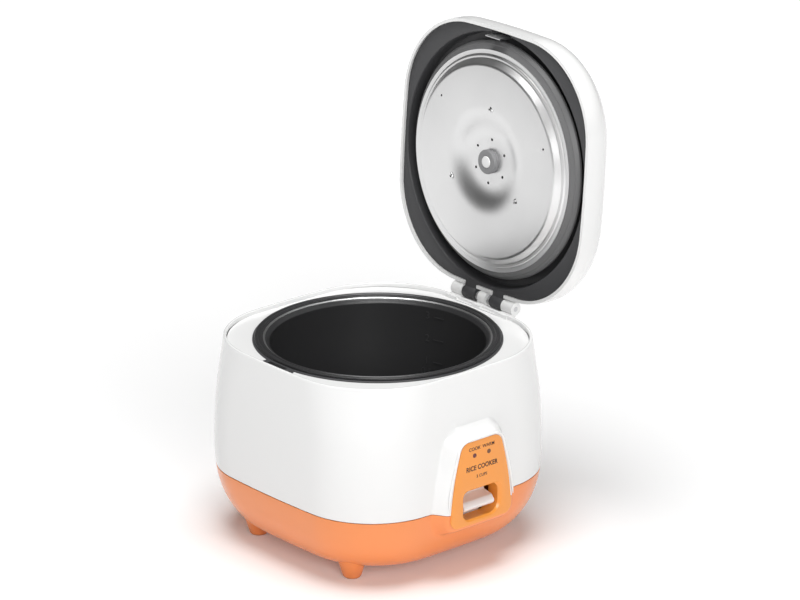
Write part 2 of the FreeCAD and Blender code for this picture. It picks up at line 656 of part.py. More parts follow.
hook_section = [
    (-97.0, 151.5, 0.4),
    (-95.8, 151.5, 0.4),
    (-95.8, 174.8, 0.4),
    (-88.0, 174.8, 0.4),
    (-86.5, 176.4, 0.4),
    (-64.0, 176.4, 0.4),
    (-64.0, 177.8, 0.4),
    (-89.0, 177.8, 0.4),
    (-90.5, 176.2, 0.4),
    (-97.0, 176.2, 1.4),
]
hook_wire = rounded_wire(hook_section, lambda u, v: V(u, -8.0, v))
hook = joined(
    Part.Face(hook_wire).extrude(V(0, 16.0, 0)),
    rod_y(2.5, -8.0, 8.0, HOOK_PIVOT_X, HOOK_PIVOT_Z),
)
save("latch_hook", opened(less(hook, rod_y(1.55, -20, 20, HOOK_PIVOT_X, HOOK_PIVOT_Z))))
save("hook_pin", opened(rod_y(1.5, -12.5, 12.5, HOOK_PIVOT_X, HOOK_PIVOT_Z)))
button_stem = post(4.0, 178.6, 190.0, BUTTON_X, 0.0)
button_cap = prism_z(button_corners, 187.5, 196.6)
save("lid_button", opened(joined(button_cap, button_stem)))

vent_cup = joined(
    sleeve(12.0, 10.5, BOSS_LOW, 189.2, VENT_X),
    sleeve(12.0, 4.0, BOSS_LOW, BOSS_LOW + 1.5, VENT_X),
)
save("vent_cup", opened(vent_cup))
cap_slots = [block(VENT_X - 6, VENT_X + 6, y - 0.9, y + 0.9, 180, 210) for y in (-5.0, 0.0, 5.0)]
steam_cap = joined(
    post(VENT_RADIUS, 194.2, 197.4, VENT_X),
    sleeve(VENT_RADIUS, VENT_RADIUS - 2.0, 189.6, 195.0, VENT_X),
)
save("steam_cap", opened(less(steam_cap, *cap_slots)))
print("nodes", len([n for n in os.listdir("parts") if n.endswith(".step")]))
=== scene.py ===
# %% [markdown]
# # A small rice cooker, dressed for its picture
# The CAD model gives every part its size and place. This script loads it as a fixed frame,
# then models the parts that show with finer meshes and gives every part its finish.
# Read it from top to bottom: each step says what the real piece is and why it is made this way.

# %% Load the frame
import bpy
import bmesh
import json
from math import atan2, cos, degrees, hypot, pi, radians, sin, sqrt, tan
from mathutils import Matrix, Vector


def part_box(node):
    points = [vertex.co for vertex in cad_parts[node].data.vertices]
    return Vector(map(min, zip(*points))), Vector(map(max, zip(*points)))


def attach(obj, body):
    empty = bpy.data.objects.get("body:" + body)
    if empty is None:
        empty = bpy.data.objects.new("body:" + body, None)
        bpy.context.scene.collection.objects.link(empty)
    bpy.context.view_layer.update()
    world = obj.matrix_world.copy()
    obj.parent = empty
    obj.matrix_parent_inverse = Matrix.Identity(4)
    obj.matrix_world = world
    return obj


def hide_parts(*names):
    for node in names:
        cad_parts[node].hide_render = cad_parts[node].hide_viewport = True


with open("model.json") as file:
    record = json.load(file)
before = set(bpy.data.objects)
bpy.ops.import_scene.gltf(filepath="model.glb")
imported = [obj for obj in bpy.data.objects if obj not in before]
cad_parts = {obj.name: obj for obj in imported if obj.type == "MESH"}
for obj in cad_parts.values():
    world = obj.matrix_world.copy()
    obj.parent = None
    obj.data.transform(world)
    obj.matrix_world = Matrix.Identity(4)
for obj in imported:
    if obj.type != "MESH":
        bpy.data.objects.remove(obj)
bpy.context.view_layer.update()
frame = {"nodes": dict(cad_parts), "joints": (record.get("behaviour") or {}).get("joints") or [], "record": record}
nodes = frame["nodes"]

# %% [markdown]
# ## Where things are
# The CAD frame has its origin on the worktop under the pot. The panel faces -Y and the lid
# hinges at +X. The script works in metres, so MM turns a drawing's millimetres into metres.
# The lid stands open in the CAD frame. Its pieces are easier to model closed, flat over the
# pot, so they are modelled there and turned about the hinge pin at the end.

# %% Driving places
MM = 0.001
joint = {j["name"]: j for j in frame["joints"]}
hinge = Vector(joint["lid_hinge"]["pos_m"])
open_angle = radians(-joint["lid_hinge"]["range_deg"][0])
about_hinge = (
    Matrix.Translation(hinge) @ Matrix.Rotation(open_angle, 4, "Y") @ Matrix.Translation(-hinge)
)
pot_low, pot_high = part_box("inner_pot")
print("hinge", tuple(round(v, 4) for v in hinge), "open", round(degrees(open_angle), 1))

# %% [markdown]
# ## Camera
# The cooker is seen from in front and to the latch side, a little from above, through a long
# lens, so its upright lines stay nearly parallel. Depth of field is off. The small shift
# moves the cooker left of the middle, as a product picture leaves room for the open lid.

# %% Camera
camera_data = bpy.data.cameras.new("camera")
camera = bpy.data.objects.new("camera", camera_data)
bpy.context.scene.collection.objects.link(camera)
camera.location = (-1.9666, -2.2655, 1.2757)
camera.rotation_euler = (radians(90 - 19.99), 0, radians(-40.96))
camera_data.lens = 193.65
camera_data.sensor_width = 36
camera_data.shift_x = 0.0277
camera_data.clip_end = 50
bpy.context.scene.camera = camera
bpy.context.scene.view_settings.view_transform = "Standard"
print("camera lens", camera_data.lens)

# %% [markdown]
# ## Floor and light
# A white sweep under soft light. The floor runs far past the view, so there is no horizon.
# Three large round lamps do the work: a strong one above, one in front that lights the panel,
# and a weak one on the latch side. The world adds only a little.

# %% Floor and light
def deselect():
    if bpy.context.object and bpy.context.object.mode != "OBJECT":
        bpy.ops.object.mode_set(mode="OBJECT")
    bpy.ops.object.select_all(action="DESELECT")


deselect()
bpy.ops.mesh.primitive_plane_add(size=14)
floor = bpy.context.object
floor.name = "floor"


def lamp(name, place, target, size, power):
    data = bpy.data.lights.new(name, "AREA")
    data.shape = "DISK"
    data.size = size
    data.energy = power
    obj = bpy.data.objects.new(name, data)
    bpy.context.scene.collection.objects.link(obj)
    obj.location = place
    obj.rotation_euler = (Vector(target) - Vector(place)).to_track_quat("-Z", "Y").to_euler()
    return obj


lamp("key", (-3.0, -0.6, 1.8), (0, 0, 0.15), 1.6, 8)
lamp("front", (-1.5, -2.9, 1.6), (0, 0, 0.15), 1.6, 50)
lamp("top", (-0.2, -0.2, 3.0), (0, 0, 0.1), 2.0, 85)
world = bpy.data.worlds.new("studio")
bpy.context.scene.world = world
world.use_nodes = True
world.node_tree.nodes["Background"].inputs[0].default_value = (1, 1, 1, 1)
world.node_tree.nodes["Background"].inputs[1].default_value = 0.06

# %% [markdown]
# ## Shared effects
# Real finishes are never perfectly even. Three small effects are built once as node groups
# and placed in many materials: "uneven" shifts a value a little with slow noise, "peel" is
# the fine ripple of moulded plastic, and "turning" is the rings a lathe leaves in metal.

# %% Node group helpers
def new_group(name, inputs, outputs):
    group = bpy.data.node_groups.new(name, "ShaderNodeTree")
    for label, kind, value in inputs:
        socket = group.interface.new_socket(name=label, in_out="INPUT", socket_type=kind)
        if value is not None:
            socket.default_value = value
    for label, kind in outputs:
        group.interface.new_socket(name=label, in_out="OUTPUT", socket_type=kind)
    return group, group.nodes.new("NodeGroupInput"), group.nodes.new("NodeGroupOutput")


def add(tree, kind, **settings):
    node = tree.nodes.new(kind)
    for key, value in settings.items():
        setattr(node, key, value)
    return node


def link(tree, *pairs):
    for source, target in pairs:
        tree.links.new(source, target)


# %% Uneven: a slow shift of colour and roughness
def make_uneven():
    group, enter, leave = new_group(
        "uneven",
        [
            ("Place", "NodeSocketVector", None),
            ("Colour", "NodeSocketColor", (0.8, 0.8, 0.8, 1)),
            ("Darker", "NodeSocketColor", (0.7, 0.7, 0.7, 1)),
            ("Scale", "NodeSocketFloat", 12.0),
            ("Roughness", "NodeSocketFloat", 0.3),
            ("Spread", "NodeSocketFloat", 0.05),
        ],
        [("Colour", "NodeSocketColor"), ("Roughness", "NodeSocketFloat")],
    )
    noise = add(group, "ShaderNodeTexNoise")
    noise.inputs["Detail"].default_value = 3
    mix = add(group, "ShaderNodeMix", data_type="RGBA")
    spread = add(group, "ShaderNodeMath", operation="MULTIPLY_ADD")
    centred = add(group, "ShaderNodeMath", operation="SUBTRACT")
    centred.inputs[1].default_value = 0.5
    link(
        group,
        (enter.outputs["Place"], noise.inputs["Vector"]),
        (enter.outputs["Scale"], noise.inputs["Scale"]),
        (noise.outputs["Fac"], mix.inputs["Factor"]),
        (enter.outputs["Colour"], mix.inputs["A"]),
        (enter.outputs["Darker"], mix.inputs["B"]),
        (mix.outputs["Result"], leave.inputs["Colour"]),
        (noise.outputs["Fac"], centred.inputs[0]),
        (centred.outputs[0], spread.inputs[0]),
        (enter.outputs["Spread"], spread.inputs[1]),
        (enter.outputs["Roughness"], spread.inputs[2]),
        (spread.outputs[0], leave.inputs["Roughness"]),
    )
    return group


uneven = make_uneven()
print("group", uneven.name)


# %% Peel: the fine ripple of moulded plastic
def make_peel():
    group, enter, leave = new_group(
        "peel",
        [("Place", "NodeSocketVector", None), ("Scale", "NodeSocketFloat", 300.0)],
        [("Height", "NodeSocketFloat")],
    )
    noise = add(group, "ShaderNodeTexNoise")
    noise.inputs["Detail"].default_value = 2
    link(
        group,
        (enter.outputs["Place"], noise.inputs["Vector"]),
        (enter.outputs["Scale"], noise.inputs["Scale"]),
        (noise.outputs["Fac"], leave.inputs["Height"]),
    )
    return group


peel = make_peel()
print("group", peel.name)


# %% Turning: rings round Z, from the distance to the axis
def make_turning():
    group, enter, leave = new_group(
        "turning",
        [
            ("Place", "NodeSocketVector", None),
            ("Rings", "NodeSocketFloat", 2500.0),
        ],
        [("Height", "NodeSocketFloat")],
    )
    split = add(group, "ShaderNodeSeparateXYZ")
    flat = add(group, "ShaderNodeCombineXYZ")
    length = add(group, "ShaderNodeVectorMath", operation="LENGTH")
    rise = add(group, "ShaderNodeMath", operation="ADD")
    rings = add(group, "ShaderNodeTexNoise", noise_dimensions="1D")
    rings.inputs["Detail"].default_value = 3
    link(
        group,
        (enter.outputs["Place"], split.inputs[0]),
        (split.outputs["X"], flat.inputs["X"]),
        (split.outputs["Y"], flat.inputs["Y"]),
        (flat.outputs[0], length.inputs[0]),
        (length.outputs["Value"], rise.inputs[0]),
        (split.outputs["Z"], rise.inputs[1]),
        (rise.outputs[0], rings.inputs["W"]),
        (enter.outputs["Rings"], rings.inputs["Scale"]),
        (rings.outputs["Fac"], leave.inputs["Height"]),
    )
    return group


turning = make_turning()
print("group", turning.name)

# %% [markdown]
# ## Finishes
# Each finish is one material: a Principled shader whose plain numbers are set on its own
# sockets, while the groups above feed only what changes over the surface.

# %% Material makers
def shader(name, **plain):
    material = bpy.data.materials.new(name)
    material.use_nodes = True
    tree = material.node_tree
    bsdf = tree.nodes["Principled BSDF"]
    for label, value in plain.items():
        bsdf.inputs[label.replace("_", " ")].default_value = value
    place = add(tree, "ShaderNodeTexCoord").outputs["Object"]
    return material, tree, bsdf, place


def use(tree, group, place, **values):
    node = add(tree, "ShaderNodeGroup", node_tree=group)
    tree.links.new(place, node.inputs["Place"])
    for label, value in values.items():
        node.inputs[label].default_value = value
    return node


def shade(colour, factor):
    return tuple(channel * factor for channel in colour) + (1,)


def bump(tree, bsdf, height, strength, distance):
    node = add(tree, "ShaderNodeBump")
    node.inputs["Strength"].default_value = strength
    node.inputs["Distance"].default_value = distance
    link(tree, (height, node.inputs["Height"]), (node.outputs[0], bsdf.inputs["Normal"]))


def moulded(name, colour, roughness, ripple=0.06, grain=260.0, darker=0.97, coat=0.0, **plain):
    """Moulded plastic or rubber: slow unevenness and a fine ripple."""
    material, tree, bsdf, place = shader(name, Coat_Weight=coat, Coat_Roughness=0.08, **plain)
    tone = use(
        tree, uneven, place, Colour=shade(colour, 1), Darker=shade(colour, darker),
        Scale=9.0, Roughness=roughness, Spread=0.08,
    )
    skin = use(tree, peel, place, Scale=grain)
    link(
        tree,
        (tone.outputs["Colour"], bsdf.inputs["Base Color"]),
        (tone.outputs["Roughness"], bsdf.inputs["Roughness"]),
    )
    bump(tree, bsdf, skin.outputs["Height"], ripple, 0.0004)
    return material


def metal(name, colour, roughness, rings=2600.0, depth=0.12, turn=None, darker=0.9, **plain):
    """Turned or spun metal. turn, if given, carries the open lid's points back to closed ones."""
    material, tree, bsdf, place = shader(name, Metallic=1.0, **plain)
    if turn is not None:
        mapping = add(tree, "ShaderNodeMapping")
        mapping.inputs["Location"].default_value = turn.to_translation()
        mapping.inputs["Rotation"].default_value = turn.to_euler()
        link(tree, (place, mapping.inputs["Vector"]))
        place = mapping.outputs[0]
    tone = use(
        tree, uneven, place, Colour=shade(colour, 1), Darker=shade(colour, darker),
        Scale=14.0, Roughness=roughness, Spread=0.10,
    )
    lathe = use(tree, turning, place, Rings=rings)
    link(
        tree,
        (tone.outputs["Colour"], bsdf.inputs["Base Color"]),
        (tone.outputs["Roughness"], bsdf.inputs["Roughness"]),
    )
    bump(tree, bsdf, lathe.outputs["Height"], depth, 0.0002)
    return material


# %% The finishes
back_to_closed = about_hinge.inverted()
white = moulded("white_plastic", (0.87, 0.87, 0.865), 0.16, coat=0.25)
orange = moulded("orange_plastic", (0.92, 0.29, 0.085), 0.22, coat=0.2)
panel_orange = moulded("panel_orange", (0.93, 0.34, 0.055), 0.24, coat=0.2)
# The lever's plastic is white. The pink cast in this colour is painted shade: the orange base's bounce light on
# the lever's shaded shelf, laid over the whole lever.
lever_white_with_painted_pink_shade = moulded("lever_plastic", (0.86, 0.80, 0.78), 0.2, coat=0.2)
charcoal = moulded("dark_plastic", (0.055, 0.055, 0.058), 0.5, ripple=0.25, grain=1500.0)
black = moulded("black_plastic", (0.02, 0.02, 0.021), 0.55, ripple=0.2, grain=1200.0)
gasket = moulded("gasket_rubber", (0.15, 0.15, 0.152), 0.42, ripple=0.1)
knob_grey = moulded("knob_grey", (0.26, 0.26, 0.265), 0.4)
rubber = moulded("foot_rubber", (0.62, 0.25, 0.1), 0.6)
nonstick = moulded("pot_nonstick", (0.03, 0.03, 0.031), 0.34, ripple=0.15, grain=2200.0)
board_green = moulded("board_green", (0.02, 0.16, 0.05), 0.4)
red_lens = moulded("lamp_red", (0.12, 0.012, 0.008), 0.2, coat=0.5)
amber_lens = moulded("lamp_amber", (0.16, 0.05, 0.01), 0.2, coat=0.5)
clear = moulded("led_clear", (0.75, 0.7, 0.65), 0.15)
mica = moulded("mica", (0.4, 0.36, 0.28), 0.7)
plate_metal = metal("plate_metal", (0.80, 0.80, 0.80), 0.36, turn=back_to_closed)
pot_metal = metal("pot_metal", (0.62, 0.62, 0.62), 0.38, depth=0.2)
cast = metal("cast_aluminium", (0.6, 0.6, 0.6), 0.45)
sheet_metal = metal("sheet_aluminium", (0.5, 0.5, 0.5), 0.4)
steel = metal("steel", (0.6, 0.6, 0.61), 0.28, rings=1200.0)
brass = metal("brass", (0.75, 0.55, 0.24), 0.3)
ferrite = moulded("ferrite", (0.05, 0.05, 0.052), 0.5)
print("materials", len(bpy.data.materials))

# %% [markdown]
# ## Finishes on the CAD nodes
# Every part of the frame gets one of these finishes, by the material slot its record names.
# A part that a finer mesh replaces later keeps its finish.

# %% Dress the CAD nodes
by_slot = {
    "white_plastic": white, "orange_plastic": orange, "panel_orange": panel_orange,
    "lever_plastic": lever_white_with_painted_pink_shade, "lamp_red": red_lens, "lamp_amber": amber_lens,
    "led_clear": clear, "dark_plastic": charcoal, "rubber": rubber,
    "gasket_rubber": gasket, "plate_metal": plate_metal, "pot_metal": pot_metal,
    "pot_nonstick": nonstick, "cast_aluminium": cast, "sheet_aluminium": sheet_metal,
    "mica": mica, "steel": steel, "magnet_ferrite": ferrite, "capsule_metal": cast,
    "board_green": board_green, "switch_plastic": black, "brass": brass,
}
slot_of = {s["node"]: s["material_slot"] for s in frame["record"]["subparts"]}
for name, node in nodes.items():
    node.data.materials.clear()
    node.data.materials.append(by_slot[slot_of[name]])
print("dressed", len(nodes))

# %% [markdown]
# ## Floor paint
# A white floor under soft lamps goes grey in the distance. So this paint also glows a little,
# faintly under the cooker, where the shadow belongs, and more further out.

# %% Paint the floor
pale, pale_tree, pale_bsdf, floor_place = shader("floor_paint", Roughness=0.8)
pale_bsdf.inputs["Base Color"].default_value = (0.88, 0.88, 0.88, 1)
distance = add(pale_tree, "ShaderNodeVectorMath", operation="LENGTH")
rise = add(pale_tree, "ShaderNodeMapRange", interpolation_type="SMOOTHSTEP")
for socket, value in (("From Min", 0.2), ("From Max", 1.3), ("To Min", 0.10), ("To Max", 0.55)):
    rise.inputs[socket].default_value = value
link(
    pale_tree,
    (floor_place, distance.inputs[0]),
    (distance.outputs["Value"], rise.inputs["Value"]),
    (rise.outputs["Result"], pale_bsdf.inputs["Emission Color"]),
)
pale_bsdf.inputs["Emission Strength"].default_value = 1.0
floor.data.materials.append(pale)
print("floor paint", pale.name)

# %% [markdown]
# ## Modelling helpers
# A turned part starts as one vertex. Extruding that vertex from point to point draws the
# half section, and Spin carries the section round the axis, as a lathe would.
# Corners are rounded before the spin, by replacing each with a short arc.

# %% Rounded corners
def rounded(points, closed=False, steps=5):
    """Points are (u, v) or (u, v, radius) in millimetres. Each radius becomes an arc."""
    out = []
    count = len(points)
    for i, point in enumerate(points):
        radius = point[2] if len(point) > 2 else 0
        here = Vector(point[:2])
        if not radius or (not closed and i in (0, count - 1)):
            out.append(here)
            continue
        before = (Vector(points[i - 1][:2]) - here).normalized()
        after = (Vector(points[(i + 1) % count][:2]) - here).normalized()
        half = before.angle(after) / 2
        middle = here + (before + after).normalized() * (radius / sin(half))
        start = here + before * (radius / tan(half)) - middle
        end = here + after * (radius / tan(half)) - middle
        sweep = start.angle_signed(end)
        for k in range(steps + 1):
            out.append(middle + Matrix.Rotation(-sweep * k / steps, 2) @ start)
    return out


test_arc = rounded([(0, 0), (10, 0, 2), (10, 10)])
arc_ends = [tuple(round(v, 2) for v in test_arc[i]) for i in (1, -2)]
print("rounded corner runs from", arc_ends[0], "to", arc_ends[1])


# %% One vertex drawn along a line
def one_vertex(name, place):
    """A plane collapsed to one vertex at a place in metres, left in edit mode."""
    deselect()
    bpy.ops.mesh.primitive_plane_add(size=0.01, location=(0, 0, 0))
    obj = bpy.context.object
    obj.name = obj.data.name = name
    bpy.ops.object.mode_set(mode="EDIT")
    bpy.ops.mesh.select_all(action="SELECT")
    bpy.ops.mesh.merge(type="CENTER")
    bpy.ops.transform.translate(value=place)
    return obj


def draw(name, places, closed=False):
    """Extrudes a vertex through places, in metres. Leaves the object in edit mode."""
    places = [Vector(p) for p in places]
    obj = one_vertex(name, places[0])
    for here, there in zip(places, places[1:]):
        bpy.ops.mesh.extrude_vertices_move(TRANSFORM_OT_translate={"value": there - here})
    if closed:
        bpy.ops.mesh.select_all(action="SELECT")
        bpy.ops.mesh.edge_face_add()
    return obj


# %% Closing a mesh
WELD = 0.00001


def face_outwards():
    """Turns every face outwards and leaves edit mode."""
    bpy.ops.mesh.select_all(action="SELECT")
    bpy.ops.mesh.normals_make_consistent(inside=False)
    bpy.ops.object.mode_set(mode="OBJECT")


def weld():
    """Merges points that lie on one another."""
    bpy.ops.mesh.select_all(action="SELECT")
    bpy.ops.mesh.remove_doubles(threshold=WELD)


def extrude_all(x, y, z):
    """Extrudes the whole mesh by a step in millimetres."""
    step = (x * MM, y * MM, z * MM)
    bpy.ops.mesh.select_all(action="SELECT")
    bpy.ops.mesh.extrude_region_move(TRANSFORM_OT_translate={"value": step})


def turned(name, section, steps):
    """Spins a half section of (radius, height) points, in millimetres, about the pot's axis."""
    obj = draw(name, [Vector((r, 0, z)) * MM for r, z in section])
    bpy.ops.mesh.select_all(action="SELECT")
    bpy.ops.mesh.spin(steps=steps, angle=2 * pi, center=(0, 0, 0), axis=(0, 0, 1))
    weld()
    face_outwards()
    return obj


# %% Finishing a piece
def smooth(obj, angle=35):
    deselect()
    obj.select_set(True)
    bpy.context.view_layer.objects.active = obj
    bpy.ops.object.shade_smooth_by_angle(angle=radians(angle))


def modify(obj, kind, **settings):
    """Adds a modifier and applies it at once."""
    deselect()
    obj.select_set(True)
    bpy.context.view_layer.objects.active = obj
    modifier = obj.modifiers.new(kind.lower(), kind)
    for key, value in settings.items():
        setattr(modifier, key, value)
    bpy.ops.object.modifier_apply(modifier=modifier.name)


def open_lid(obj):
    """Turns a piece that was modelled on the closed lid to where the open lid holds it."""
    obj.data.transform(about_hinge)


def finish(obj, body, material, stands_for=(), angle=35):
    smooth(obj, angle)
    obj.data.materials.clear()
    obj.data.materials.append(material)
    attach(obj, body)
    if stands_for:
        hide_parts(*stands_for)
    print(obj.name, "faces", len(obj.data.polygons))


# %% [markdown]
# ## The body's outline
# Seen from above the body is a square with slightly bowed sides and large round corners.
# Each section up the body is such an outline at its own width, and the widths follow a smooth
# curve, so the walls swell a little above the seam and tuck in under it.

# %% Outline of one section
SIDE_RADIUS = 900.0
BODY_SECTIONS = [  # height, half width, corner radius
    (9.0, 80.0, 55.0), (12.5, 86.5, 57.0), (20.0, 94.0, 60.0), (32.0, 100.5, 61.5),
    (45.0, 104.0, 61.0), (55.5, 105.3, 61.0), (75.0, 105.8, 60.0), (115.0, 104.8, 62.0),
    (157.5, 102.5, 70.0),
]
SEAM_Z = 55.5


def eighth(half, corner, share):
    """A point from the middle of the -Y side (share 0) to the corner's diagonal (share 1)."""
    back = half - SIDE_RADIUS
    low = (back + sqrt(2 * (SIDE_RADIUS - corner) ** 2 - back**2)) / 2
    turn = atan2(low, low - back)
    side = SIDE_RADIUS * turn
    whole = side + corner * (pi / 4 - turn)
    run = share * whole
    if run <= side:
        bend = run / SIDE_RADIUS
        return SIDE_RADIUS * sin(bend), -back - SIDE_RADIUS * cos(bend)
    bend = turn + (run - side) / corner
    return low + corner * sin(bend), -low - corner * cos(bend)


def outline(half, corner, fine, coarse):
    """The whole outline, with close points on the -Y side and wider ones elsewhere."""
    front = [eighth(half, corner, k / fine) for k in range(fine)]
    other = [eighth(half, corner, k / coarse) for k in range(coarse)]
    diagonal = eighth(half, corner, 1.0)
    right = front + [diagonal]
    side = [(-y, -x) for x, y in reversed(other)] + [(-y, x) for x, y in other[1:]]
    back = [(x, -y) for x, y in [diagonal] + other[::-1]]
    back += [(-x, -y) for x, y in other[1:] + [diagonal]]
    left = [(-x, y) for x, y in side[::-1]]
    return right + side + back + left + [(-x, y) for x, y in ([diagonal] + front[::-1])][:-1]


def between(table, z):
    """Half width and corner radius at a height, by a smooth curve through the table."""
    heights = [row[0] for row in table]
    i = max(k for k in range(len(heights) - 1) if heights[k] <= z or k == 0)

    def slope(k, column):
        a, b = max(k - 1, 0), min(k + 1, len(table) - 1)
        return (table[b][column] - table[a][column]) / (heights[b] - heights[a])

    span = heights[i + 1] - heights[i]
    t = (z - heights[i]) / span
    out = []
    for column in (1, 2):
        p, q = table[i][column], table[i + 1][column]
        m, n = slope(i, column) * span, slope(i + 1, column) * span
        out.append(
            (2 * t**3 - 3 * t**2 + 1) * p + (t**3 - 2 * t**2 + t) * m
            + (3 * t**2 - 2 * t**3) * q + (t**3 - t**2) * n
        )
    return out


ring = outline(105.3, 61.0, 60, 30)
print("outline points", len(ring))

# %% [markdown]
# ## The panel's outline and the swelling round it
# The control panel is a tall plate, narrower at the top. The casing swells out to meet it,
# softly above the seam and below it, so the plate sits on a low hill instead of a step.

# %% Panel outline and its distance
PANEL_FRONT_Y = -115.7
PANEL_CORNERS = [
    (30.3, 43.5, 7.0), (27.8, 76.0, 225.0), (18.5, 108.3, 8.0),
    (-18.5, 108.3, 8.0), (-27.8, 76.0, 225.0), (-30.3, 43.5, 7.0),
]
panel_line = rounded(PANEL_CORNERS, closed=True, steps=8)


def from_panel(x, z):
    """Distance to the panel's edge in millimetres, below zero inside it."""
    point = Vector((x, z))
    near, inside = 1e9, False
    for a, b in zip(panel_line, panel_line[1:] + panel_line[:1]):
        edge = b - a
        t = min(max((point - a).dot(edge) / max(edge.length_squared, 1e-9), 0), 1)
        near = min(near, (point - a - edge * t).length)
        if (a.y > z) != (b.y > z) and x < (b.x - a.x) * (z - a.y) / (b.y - a.y) + a.x:
            inside = not inside
    return -near if inside else near


print("panel edge at top", round(from_panel(0, 110.3), 2), "middle", round(from_panel(0, 76), 2))

# %% [markdown]
# ## Casing: white shell and orange base
# Both are skins of rings stacked on one another. The bottom ring is a circle primitive laid on
# the outline, and every further ring is extruded from the last. The skin is then given its
# wall by Solidify. Rings lie closer near the panel, where the swelling needs them.

# %% Casing helper
SWELL_Y = -115.0
SWELL_REACH = 10.0
CASING_WALL = 2.2


def swell(x, y, z):
    """Pulls the front of the casing out to the panel."""
    if y > -80 or abs(x) > 45 or not 30 < z < 122:
        return y
    away = from_panel(x, z)
    share = min(max((SWELL_REACH - away) / (SWELL_REACH - 1.0), 0), 1)
    ease = share * share * (3 - 2 * share)
    if away < -1.5:
        return SWELL_Y + 1.6
    return y + (SWELL_Y - y) * ease


def stack(name, levels):
    """Extrudes a ring through levels, each a list of places in millimetres. Stays in edit mode."""
    deselect()
    bpy.ops.mesh.primitive_circle_add(vertices=len(levels[0]), radius=0.1, fill_type="NOTHING")
    obj = bpy.context.object
    obj.name = obj.data.name = name
    order = obj.data.attributes.new("order", "INT", "POINT")
    for i, value in enumerate(order.data):
        value.value = i
    bpy.ops.object.mode_set(mode="EDIT")
    bpy.ops.mesh.select_all(action="SELECT")
    for level, places in enumerate(levels):
        if level:
            bpy.ops.mesh.extrude_edges_move(TRANSFORM_OT_translate={"value": (0, 0, 0.001)})
        mesh = bmesh.from_edit_mesh(obj.data)
        layer = mesh.verts.layers.int["order"]
        for vertex in mesh.verts:
            if vertex.select:
                vertex.co = Vector(places[vertex[layer]]) * MM
        bmesh.update_edit_mesh(obj.data)
    return obj


def casing(name, levels, fine=96, coarse=26):
    """Stacks the body's outline at (height, inset) levels, as an open skin."""
    rings = []
    for z, inset in levels:
        half, corner = between(BODY_SECTIONS, z)
        plan = outline(half - inset, corner - inset, fine, coarse)
        rings.append([(x, swell(x, y, z) if inset < 0.5 else y, z) for x, y in plan])
    obj = stack(name, rings)
    bpy.ops.object.mode_set(mode="OBJECT")
    return obj


def drop_faces(obj, test):
    """Deletes the faces whose middle, in millimetres, passes a test."""
    bpy.ops.object.mode_set(mode="EDIT")
    bpy.ops.mesh.select_all(action="DESELECT")
    mesh = bmesh.from_edit_mesh(obj.data)
    for face in mesh.faces:
        face.select = test(face.calc_center_median() / MM)
    bmesh.update_edit_mesh(obj.data)
    bpy.ops.mesh.delete(type="FACE")
    bpy.ops.object.mode_set(mode="OBJECT")


def in_opening(c):
    return c.y < -90 and abs(c.x) < 21 and 44 < c.z < 73


# %% White shell
shell_levels = [(SEAM_Z + 0.15, 0.35), (SEAM_Z + 0.5, 0.0)]
shell_levels += [(SEAM_Z + 0.5 + 1.5 * k, 0.0) for k in range(1, 40)]
shell_levels += [(z, 0.0) for z in (118, 123, 128, 133, 138, 143, 148, 152, 155, 156.4)]
shell_levels += [(156.9, 0.1), (157.3, 0.35), (157.5, 0.8), (157.5, 1.6), (157.3, 2.1)]
shell_levels += [(156.9, 2.4), (156.0, 2.6), (154.0, 2.6)]
shell = casing("white_shell", shell_levels)
drop_faces(shell, in_opening)
print("shell skin", len(shell.data.polygons))
modify(shell, "SOLIDIFY", thickness=CASING_WALL * MM, offset=-1.0)
finish(shell, "cooker_body", white, ["outer_shell"], angle=40)

# %% Orange base
base_levels = [(9.0, 26.0), (9.0, 3.0), (9.0, 1.2), (9.2, 0.5), (9.6, 0.15), (10.2, 0.0)]
base_levels += [(z, 0.0) for z in (11.2, 12.5, 14.0, 16.0, 18.0, 20.5, 23.0, 26.0, 29.0)]
base_levels += [(31.0 + 1.5 * k, 0.0) for k in range(17)] + [(SEAM_Z - 0.15, 0.35)]
base = casing("orange_base", base_levels)
drop_faces(base, in_opening)
modify(base, "SOLIDIFY", thickness=CASING_WALL * MM, offset=-1.0)
finish(base, "cooker_body", orange, ["base_shell"], angle=40)

# %% [markdown]
# ## Control panel
# The panel is one moulding: a plate with a small rounded edge, a dished hollow and, in it, the
# opening that the lever moves in. The plate is a filled outline extruded backwards. The hollow
# and the opening are cut with Boolean modifiers, and a band behind the opening makes the walls
# of the recess.

# %% Outlines drawn in the upright plane
def upright(points, y):
    return [Vector((u, y, v)) * MM for u, v in points]


def prism(name, points, y, depth):
    """A filled upright outline with thickness along Y."""
    obj = draw(name, upright(points, y), closed=True)
    extrude_all(0, depth, 0)
    face_outwards()
    return obj


def cut(obj, *tools):
    for tool in tools:
        modify(obj, "BOOLEAN", operation="DIFFERENCE", object=tool, solver="EXACT")
        bpy.data.objects.remove(tool)


def join(obj, *others):
    deselect()
    for piece in (obj,) + others:
        piece.select_set(True)
    bpy.context.view_layer.objects.active = obj
    bpy.ops.object.join()


# %% Panel plate with its hollow and opening
OPENING = [(-17.5, 47.2, 7.0), (17.5, 47.2, 9.0), (17.5, 70.0, 6.0), (-17.5, 70.0, 6.0)]
HOLLOW = [(-18.6, 45.4, 7.5), (20.6, 45.4, 12.0), (20.6, 71.6, 5.0), (-18.6, 71.6, 6.0)]
HOLLOW_DEPTH = 2.2
RECESS_DEPTH = 9.6
panel = prism("panel_plate", panel_line, PANEL_FRONT_Y, 2.4)
opening_tool = prism("opening_tool", rounded(OPENING, closed=True), PANEL_FRONT_Y - 4, 12)
hollow_tool = draw(
    "hollow_tool", upright(rounded(HOLLOW, closed=True), PANEL_FRONT_Y - 0.6), closed=True
)
extrude_all(0, HOLLOW_DEPTH, 0)
bpy.ops.transform.resize(value=(0.89, 1, 0.85), center_override=(0.4 * MM, 0, 58.6 * MM))
face_outwards()
cut(panel, hollow_tool, opening_tool)
